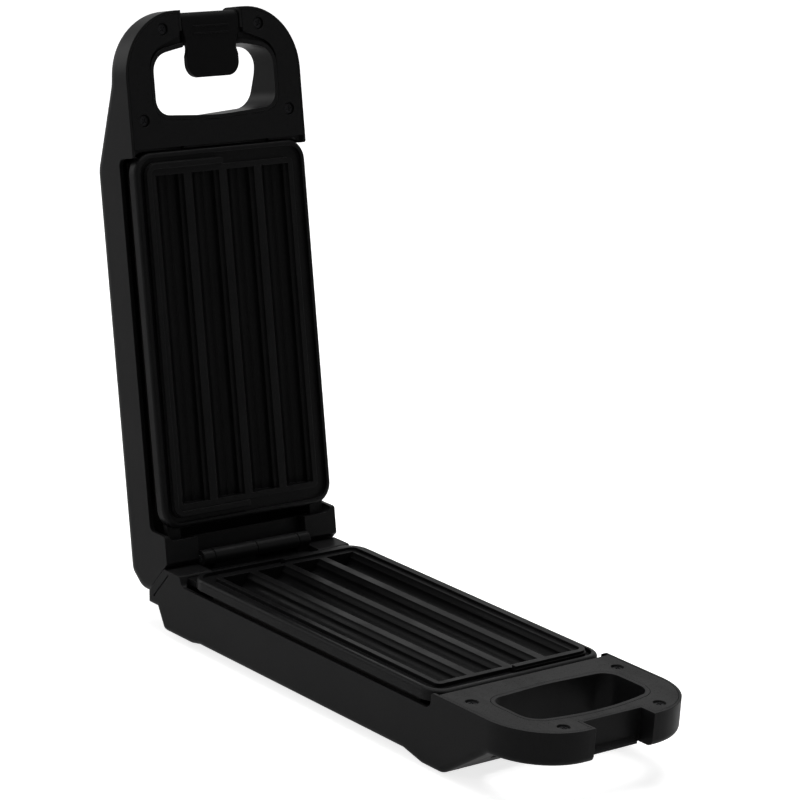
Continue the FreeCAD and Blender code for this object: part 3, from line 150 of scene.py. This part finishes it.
def label_frame(name, body, steps=64, sides=16):
    """Raised bead round a bare field on the underside: a circle carried along a rounded rectangle. The
    path is a corner arc for each quarter turn, and the circle's plane holds the arc's outward direction
    and Z."""
    turn = np.linspace(0, 2 * np.pi, steps, endpoint=False) + np.pi / steps
    outward = np.stack([np.cos(turn), np.sin(turn)], axis=-1)
    reach = np.array(LABEL_HALF) - LABEL_CORNER
    path = np.array(LABEL_MIDDLE) + np.sign(outward) * reach + outward * LABEL_CORNER
    around = np.linspace(0, 2 * np.pi, sides, endpoint=False)[:, None, None]
    flat = path + outward * LABEL_BEAD * np.cos(around)
    height = np.broadcast_to(UNDERSIDE + LABEL_BEAD * np.sin(around), flat.shape[:2] + (1,))
    bead = np.concatenate([flat, height], axis=-1)
    piece = skin(name, on_base(np.concatenate([bead, bead[:1]]))[None])
    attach(piece, body)
    return piece


# Shared effects

VALUE = "NodeSocketFloat"
VECTOR = "NodeSocketVector"
MIX_FIRST = 6
MIX_SECOND = 7
MIX_RESULT = 2
WIPING = (240.0, 14.0, 14.0)
EDGE_RADIUS = 0.4
EDGE_SAMPLES = 6


def new_group(name, inputs, outputs):
    """Empty node group with named float inputs and named outputs."""
    group = bpy.data.node_groups.new(name, "ShaderNodeTree")
    for label, value in inputs.items():
        socket = group.interface.new_socket(label, in_out="INPUT", socket_type=VALUE)
        socket.default_value = value
    for label, kind in outputs.items():
        group.interface.new_socket(label, in_out="OUTPUT", socket_type=kind)
    return group, group.nodes.new("NodeGroupInput"), group.nodes.new("NodeGroupOutput")


def object_place(tree):
    """Place on the piece in its own frame."""
    return tree.nodes.new("ShaderNodeTexCoord").outputs["Object"]


def stretched(tree, vector, scale):
    """A vector scaled along each axis."""
    node = tree.nodes.new("ShaderNodeMapping")
    node.inputs["Scale"].default_value = scale
    tree.links.new(vector, node.inputs["Vector"])
    return node.outputs["Vector"]


def noise(tree, vector, scale, detail=2.0, roughness=0.5):
    """Noise node on a vector; scale is a number or a socket."""
    node = tree.nodes.new("ShaderNodeTexNoise")
    node.inputs["Detail"].default_value = detail
    node.inputs["Roughness"].default_value = roughness
    tree.links.new(vector, node.inputs["Vector"])
    if isinstance(scale, bpy.types.NodeSocket):
        tree.links.new(scale, node.inputs["Scale"])
    else:
        node.inputs["Scale"].default_value = scale
    return node.outputs["Fac"]


def span(tree, value, low, high, to_low=0.0, to_high=1.0):
    """A value mapped smoothly from one range to another, held at the ends."""
    node = tree.nodes.new("ShaderNodeMapRange")
    node.interpolation_type = "SMOOTHSTEP"
    for label, number in (("From Min", low), ("From Max", high), ("To Min", to_low), ("To Max", to_high)):
        node.inputs[label].default_value = number
    tree.links.new(value, node.inputs["Value"])
    return node.outputs["Result"]


def math_node(tree, operation, first, second):
    """Arithmetic on two sockets or numbers."""
    node = tree.nodes.new("ShaderNodeMath")
    node.operation = operation
    for socket, value in zip(node.inputs, (first, second)):
        if isinstance(value, bpy.types.NodeSocket):
            tree.links.new(value, socket)
        else:
            socket.default_value = value
    return node.outputs["Value"]


def mixed(tree, first, second, share):
    """Two values added, the first by its share and the second by the rest."""
    kept = math_node(tree, "MULTIPLY", first, share)
    rest = math_node(tree, "MULTIPLY", second, 1.0 - share)
    return math_node(tree, "ADD", kept, rest)


def grain_group():
    """Spark-eroded mould texture: two sizes of noise added, as a height and as a mask of its pits."""
    group, given, result = new_group("mould_grain", {"Scale": 2200.0}, {"Height": VALUE, "Pits": VALUE})
    place = object_place(group)
    fine = noise(group, place, given.outputs["Scale"], detail=3.0, roughness=0.6)
    coarse_scale = math_node(group, "MULTIPLY", given.outputs["Scale"], 0.37)
    coarse = noise(group, place, coarse_scale, detail=1.0)
    height = mixed(group, fine, coarse, share=0.65)
    group.links.new(height, result.inputs["Height"])
    group.links.new(span(group, height, low=0.46, high=0.36), result.inputs["Pits"])
    return group


def handling_group():
    """Traces of use: broad patches rubbed smoother, thin streaks of wiping, and dust settled on faces
    that look up while the lid is open."""
    group, given, result = new_group("handling", {"Patch scale": 22.0}, {"Rub": VALUE, "Dust": VALUE})
    place = object_place(group)
    patches = noise(group, place, given.outputs["Patch scale"], detail=4.0, roughness=0.55)
    streaks = noise(group, stretched(group, place, WIPING), scale=1.0, detail=3.0)
    rubbed = mixed(group, patches, streaks, share=0.75)
    group.links.new(span(group, rubbed, low=0.38, high=0.64), result.inputs["Rub"])
    facing = group.nodes.new("ShaderNodeSeparateXYZ")
    group.links.new(group.nodes.new("ShaderNodeTexCoord").outputs["Normal"], facing.inputs["Vector"])
    settled = span(group, facing.outputs["Z"], low=0.55, high=1.0)
    specks = span(group, noise(group, place, scale=1700.0, roughness=0.7), low=0.60, high=0.72)
    group.links.new(math_node(group, "MULTIPLY", settled, specks), result.inputs["Dust"])
    return group


def edge_group():
    """Edges broken by the mould and by hands: the normal of a small rounding, and a mask of where it
    turns away from the flat face, which noise makes uneven. The mask lightens the edges, partly as wear
    and partly as a painted highlight."""
    radius = {"Radius": EDGE_RADIUS * MM}
    group, given, result = new_group("broken_edges_and_highlight", radius, {"Wear_and_highlight": VALUE, "Normal": VECTOR})
    rounded = group.nodes.new("ShaderNodeBevel")
    rounded.samples = EDGE_SAMPLES
    group.links.new(given.outputs["Radius"], rounded.inputs["Radius"])
    group.links.new(rounded.outputs["Normal"], result.inputs["Normal"])
    agree = group.nodes.new("ShaderNodeVectorMath")
    agree.operation = "DOT_PRODUCT"
    group.links.new(rounded.outputs["Normal"], agree.inputs[0])
    group.links.new(group.nodes.new("ShaderNodeNewGeometry").outputs["Normal"], agree.inputs[1])
    turned = span(group, agree.outputs["Value"], low=0.995, high=0.85)
    patches = noise(group, object_place(group), scale=160.0, detail=3.0)
    uneven = span(group, patches, low=0.35, high=0.65, to_low=0.4)
    group.links.new(math_node(group, "MULTIPLY", turned, uneven), result.inputs["Wear_and_highlight"])
    return group


GRAIN = grain_group()
HANDLING = handling_group()
EDGES = edge_group()


def place_group(tree, group, **values):
    """A shared effect placed in a material with its own values."""
    node = tree.nodes.new("ShaderNodeGroup")
    node.node_tree = group
    for label, value in values.items():
        node.inputs[label.replace("_", " ")].default_value = value
    return node.outputs


def blend_colour(tree, factor, first, second):
    """Colour that goes from one to another with a mask."""
    node = tree.nodes.new("ShaderNodeMix")
    node.data_type = "RGBA"
    tree.links.new(factor, node.inputs["Factor"])
    for socket, colour in ((node.inputs[MIX_FIRST], first), (node.inputs[MIX_SECOND], second)):
        if isinstance(colour, bpy.types.NodeSocket):
            tree.links.new(colour, socket)
        else:
            socket.default_value = (*colour, 1.0)
    return node.outputs[MIX_RESULT]


def raise_by(tree, shader, height, depth, edges=None):
    """Bump of a depth in millimetres, on the plain or the edge-broken normal, into a shader's normal."""
    bump = tree.nodes.new("ShaderNodeBump")
    bump.inputs["Distance"].default_value = depth * MM
    tree.links.new(height, bump.inputs["Height"])
    if edges:
        tree.links.new(edges["Normal"], bump.inputs["Normal"])
    tree.links.new(bump.outputs["Normal"], shader.inputs["Normal"])


def new_material(name, **constants):
    """Material with its shader's fixed sockets set; the tree and the shader are given back."""
    material = bpy.data.materials.new(name)
    material.use_nodes = True
    shader = material.node_tree.nodes["Principled BSDF"]
    for label, value in constants.items():
        shader.inputs[label.replace("_", " ")].default_value = value
    return material, material.node_tree, shader


# Finishes

DUST = (0.10, 0.10, 0.10)
DUST_COVER = 0.35
# Factor that lightens the edges: partly wear, partly a painted highlight.
WEAR_AND_HIGHLIGHT_LIGHTER = 1.7
PEEL_DEPTH = 0.05
COAT_EDGE_RADIUS = 0.5
DRAWN_DEPTH = 0.02


def moulded(name, dark, light, gloss, grain, **constants):
    """Moulded plastic: the mould's grain gives the tone and the relief, edges are broken and a little
    lighter, partly as wear and partly as a painted highlight, the gloss varies with handling, and dust lies
    on top. Gloss holds the roughness where rubbed and elsewhere, and grain its scale and its depth in
    millimetres."""
    smooth, rough = gloss
    scale, depth = grain
    material, tree, shader = new_material(name, **constants)
    texture = place_group(tree, GRAIN, Scale=scale)
    use = place_group(tree, HANDLING)
    edges = place_group(tree, EDGES)
    # Edge colour: lighter partly as wear and partly as a painted highlight.
    worn_and_highlit = tuple(channel * WEAR_AND_HIGHLIGHT_LIGHTER for channel in light)
    tone = blend_colour(tree, texture["Pits"], light, dark)
    tone = blend_colour(tree, edges["Wear_and_highlight"], tone, worn_and_highlit)
    dusted = math_node(tree, "MULTIPLY", use["Dust"], DUST_COVER)
    tone = blend_colour(tree, dusted, tone, DUST)
    tree.links.new(tone, shader.inputs["Base Color"])
    tree.links.new(span(tree, use["Rub"], 0.0, 1.0, rough, smooth), shader.inputs["Roughness"])
    raise_by(tree, shader, texture["Height"], depth, edges)
    return material


def nonstick(name, film, fleck, gloss, **constants):
    """Black cooking coat: faint light flecks in the film, a slight orange peel, smoother where wiped."""
    smooth, rough = gloss
    material, tree, shader = new_material(name, **constants)
    place = object_place(tree)
    flecks = span(tree, noise(tree, place, scale=2600.0, detail=1.0), low=0.66, high=0.74)
    tree.links.new(blend_colour(tree, flecks, film, fleck), shader.inputs["Base Color"])
    use = place_group(tree, HANDLING, Patch_scale=34.0)
    tree.links.new(span(tree, use["Rub"], 0.0, 1.0, rough, smooth), shader.inputs["Roughness"])
    peel = noise(tree, place, scale=900.0)
    raise_by(tree, shader, peel, PEEL_DEPTH, place_group(tree, EDGES, Radius=COAT_EDGE_RADIUS * MM))
    return material


def metal(name, dark, light, gloss, draw):
    """Drawn metal: noise stretched along the draw gives lines in the tone, the gloss and the relief."""
    smooth, rough = gloss
    material, tree, shader = new_material(name, Metallic=1.0)
    lines = noise(tree, stretched(tree, object_place(tree), draw), scale=1.0, detail=3.0, roughness=0.6)
    tree.links.new(blend_colour(tree, lines, dark, light), shader.inputs["Base Color"])
    tree.links.new(span(tree, lines, 0.3, 0.7, smooth, rough), shader.inputs["Roughness"])
    raise_by(tree, shader, lines, DRAWN_DEPTH)
    return material


def lens(name, deep, bright):
    """Tinted lens: denser colour in cloudy patches, a clear coat on top."""
    material, tree, shader = new_material(name, Roughness=0.18, IOR=1.49,
                                          Coat_Weight=0.6, Coat_Roughness=0.05)
    cloud = span(tree, noise(tree, object_place(tree), scale=260.0), low=0.35, high=0.65)
    tree.links.new(blend_colour(tree, cloud, deep, bright), shader.inputs["Base Color"])
    return material


FINISHES = {
    "housing_plastic": moulded("satin_black_housing", (0.0045, 0.0045, 0.0048), (0.0075, 0.0075, 0.0078),
                               gloss=(0.36, 0.44), grain=(2600.0, 0.03), Specular_IOR_Level=0.075),
    # The cover finish is lighter than the housing: painted light from above on the base's handle cover.
    "cover_plastic": moulded("textured_cover_painted_light", (0.018, 0.018, 0.018), (0.038, 0.038, 0.038),
                             gloss=(0.52, 0.66), grain=(1700.0, 0.08), Specular_IOR_Level=0.04),
    "latch_plastic": moulded("satin_black_latch", (0.0038, 0.0038, 0.0040), (0.0060, 0.0060, 0.0062),
                             gloss=(0.36, 0.48), grain=(2600.0, 0.03), Specular_IOR_Level=0.035),
    "inner_plastic": moulded("grey_inner_moulding", (0.08, 0.08, 0.08), (0.13, 0.13, 0.13),
                             gloss=(0.45, 0.60), grain=(2200.0, 0.05)),
    "rubber": moulded("black_rubber", (0.010, 0.010, 0.010), (0.018, 0.018, 0.018),
                      gloss=(0.70, 0.85), grain=(1500.0, 0.10)),
    "ceramic": moulded("glazed_ceramic", (0.58, 0.55, 0.48), (0.70, 0.67, 0.60),
                       gloss=(0.18, 0.30), grain=(900.0, 0.03)),
    "sleeve": moulded("woven_sleeve", (0.50, 0.47, 0.40), (0.72, 0.69, 0.61),
                      gloss=(0.70, 0.85), grain=(1100.0, 0.20)),
    "nonstick": nonstick("black_nonstick_coat", (0.0040, 0.0040, 0.0042), (0.020, 0.020, 0.021),
                         gloss=(0.34, 0.46), Specular_IOR_Level=0.09),
    "steel": metal("drawn_steel", (0.42, 0.42, 0.43), (0.60, 0.60, 0.61),
                   gloss=(0.22, 0.38), draw=(60.0, 1800.0, 1800.0)),
    # The heat shields are made dark as painted shade, so the slot beside the plate where they show reads
    # dark.
    "sheet": metal("dark_sheet_painted_shade", (0.030, 0.029, 0.028), (0.060, 0.058, 0.055),
                   gloss=(0.48, 0.64), draw=(1500.0, 40.0, 1500.0)),
    "red_lens": lens("red_lens_tint", (0.30, 0.010, 0.008), (0.55, 0.025, 0.015)),
    "green_lens": lens("green_lens_tint", (0.015, 0.16, 0.03), (0.04, 0.34, 0.07)),
    "lamp_glass": lens("clear_lamp_glass", (0.75, 0.70, 0.62), (0.92, 0.88, 0.80)),
}
# Blackened screw steel, darkened further as painted shade of the wells the cover screws sit in.
BLACK_SCREW_PAINTED_SHADE = metal("blackened_screw_steel_painted_shade", (0.010, 0.010, 0.011), (0.024, 0.024, 0.025),
                    gloss=(0.38, 0.55), draw=(900.0, 900.0, 900.0))
# Darker copy of the cover finish for the lid's handle cover: painted shade.
SHADED_LID_COVER = moulded("textured_cover_painted_shade", (0.0035, 0.0035, 0.0037), (0.0065, 0.0065, 0.0068),
                     gloss=(0.46, 0.58), grain=(1700.0, 0.07), Specular_IOR_Level=0.07)


def dress(piece, material):
    """Give a piece one material."""
    piece.data.materials.clear()
    piece.data.materials.append(material)


for row in frame["record"]["subparts"]:
    dress(nodes[row["node"]], FINISHES[row["material_slot"]])
# The lid's handle cover takes the darker copy of the cover finish: painted shade.
dress(nodes["lid_handle_cover"], SHADED_LID_COVER)

# Screws of the two handle covers and of the underside, and the bare label field
base_cover_screws = screw_set("base_cover_screws", COVER_SCREWS, COVER_WELL_FLOOR, "base", on_base,
                              turns=(20, 65, -12, 40))
lid_cover_screws = screw_set("lid_cover_screws", COVER_SCREWS, COVER_WELL_FLOOR, "lid", on_lid,
                             turns=(50, 8, 33, -25))
underside_screws = screw_set("underside_screws", UNDERSIDE_SCREWS, UNDERSIDE, "base", on_base,
                             turns=(15, 70, 48, -8), upright=-1.0)
for screws in (base_cover_screws, lid_cover_screws, underside_screws):
    dress(screws, BLACK_SCREW_PAINTED_SHADE)
dress(label_frame("underside_label_frame", "base"), FINISHES["housing_plastic"])

# Floor, light and camera, in metres
WHITE = (1.0, 1.0, 1.0, 1.0)
FLOOR_COLOUR = (0.82, 0.82, 0.82, 1.0)
FLOOR_SIZE = 12.0
FLOOR_GLOW = 0.78
FLOOR_MIRRORED = 0.4
ROOM_IN_FRONT = 0.25
ROOM_BEHIND = 0.7
ROOM_LIGHT = 0.4
MIDDLE = (0.0, -0.05, 0.12)
SENSOR_MM = 36.0


def stage_floor():
    """Level pale square under the object, which adds white of its own for what looks at it, and less of
    it for what mirrors it."""
    corners = np.array([[-1, -1], [1, -1], [1, 1], [-1, 1]]) * FLOOR_SIZE / 2
    mesh = bpy.data.meshes.new("floor")
    mesh.from_pydata(np.column_stack([corners, np.zeros(4)]), [], [(0, 1, 2, 3)])
    floor = bpy.data.objects.new("floor", mesh)
    scene.collection.objects.link(floor)
    material, tree, shader = new_material("pale_floor", Roughness=0.9, Specular_IOR_Level=0.0,
                                          Base_Color=FLOOR_COLOUR, Emission_Color=WHITE)
    path = tree.nodes.new("ShaderNodeLightPath").outputs
    seen = math_node(tree, "MAXIMUM", path["Is Camera Ray"], path["Is Transmission Ray"])
    mirrored = math_node(tree, "MULTIPLY", path["Is Glossy Ray"], FLOOR_MIRRORED)
    shown = math_node(tree, "MAXIMUM", seen, mirrored)
    tree.links.new(math_node(tree, "MULTIPLY", shown, FLOOR_GLOW), shader.inputs["Emission Strength"])
    dress(floor, material)


def studio_world():
    """White to the camera and through glass. In reflections a bright backdrop stands behind and fades to
    a dim room in front, and as light the same room counts for less."""
    world = bpy.data.worlds.new("studio")
    scene.world = world
    world.use_nodes = True
    tree = world.node_tree
    backdrop = tree.nodes["Background"]
    backdrop.inputs["Color"].default_value = WHITE
    path = tree.nodes.new("ShaderNodeLightPath").outputs
    seen = math_node(tree, "MAXIMUM", path["Is Camera Ray"], path["Is Transmission Ray"])
    direction = tree.nodes.new("ShaderNodeSeparateXYZ")
    tree.links.new(tree.nodes.new("ShaderNodeTexCoord").outputs["Generated"], direction.inputs["Vector"])
    mirrored = span(tree, direction.outputs["Y"], -0.6, 0.7, to_low=ROOM_IN_FRONT, to_high=ROOM_BEHIND)
    share = span(tree, path["Is Glossy Ray"], 0.0, 1.0, to_low=ROOM_LIGHT)
    room = math_node(tree, "MULTIPLY", mirrored, share)
    tree.links.new(math_node(tree, "MAXIMUM", seen, room), backdrop.inputs["Strength"])


def softbox(name, place, width, height, watts):
    """Rectangular lamp that faces the object's middle."""
    data = bpy.data.lights.new(name, "AREA")
    data.shape = "RECTANGLE"
    data.size = width
    data.size_y = height
    data.energy = watts
    lamp = bpy.data.objects.new(name, data)
    lamp.location = place
    lamp.rotation_euler = (Vector(MIDDLE) - Vector(place)).to_track_quat("-Z", "Y").to_euler()
    scene.collection.objects.link(lamp)


def photo_camera(azimuth, elevation, roll, distance, target, lens_mm):
    """Camera on a sphere round a target, turned about its own axis; angles in degrees."""
    a, e, r = (math.radians(angle) for angle in (azimuth, elevation, roll))
    back = Vector((math.sin(a) * math.cos(e), -math.cos(a) * math.cos(e), math.sin(e)))
    right = Vector((math.cos(a), math.sin(a), 0.0))
    up = back.cross(right)
    turned_right = right * math.cos(r) + up * math.sin(r)
    turned_up = up * math.cos(r) - right * math.sin(r)
    data = bpy.data.cameras.new("photo_camera")
    data.lens = lens_mm
    data.sensor_width = SENSOR_MM
    camera = bpy.data.objects.new("photo_camera", data)
    axes = Matrix((turned_right, turned_up, back)).transposed().to_4x4()
    camera.matrix_world = Matrix.Translation(Vector(target) + back * distance) @ axes
    scene.collection.objects.link(camera)
    scene.camera = camera


stage_floor()
studio_world()
softbox("overhead_softbox", (0.3, 0.2, 2.0), width=1.6, height=1.6, watts=26.0)
softbox("left_softbox", (-2.0, 0.3, 0.9), width=0.8, height=1.4, watts=5.5)
softbox("front_softbox", (0.9, -2.0, 1.3), width=1.0, height=1.0, watts=3.0)
softbox("rear_softbox", (-0.9, 2.0, 0.9), width=1.0, height=1.4, watts=9.0)
photo_camera(azimuth=-41.317, elevation=15.73, roll=4.214, distance=1.6318,
             target=(-0.1063, -0.1277, 0.2056), lens_mm=151.6)
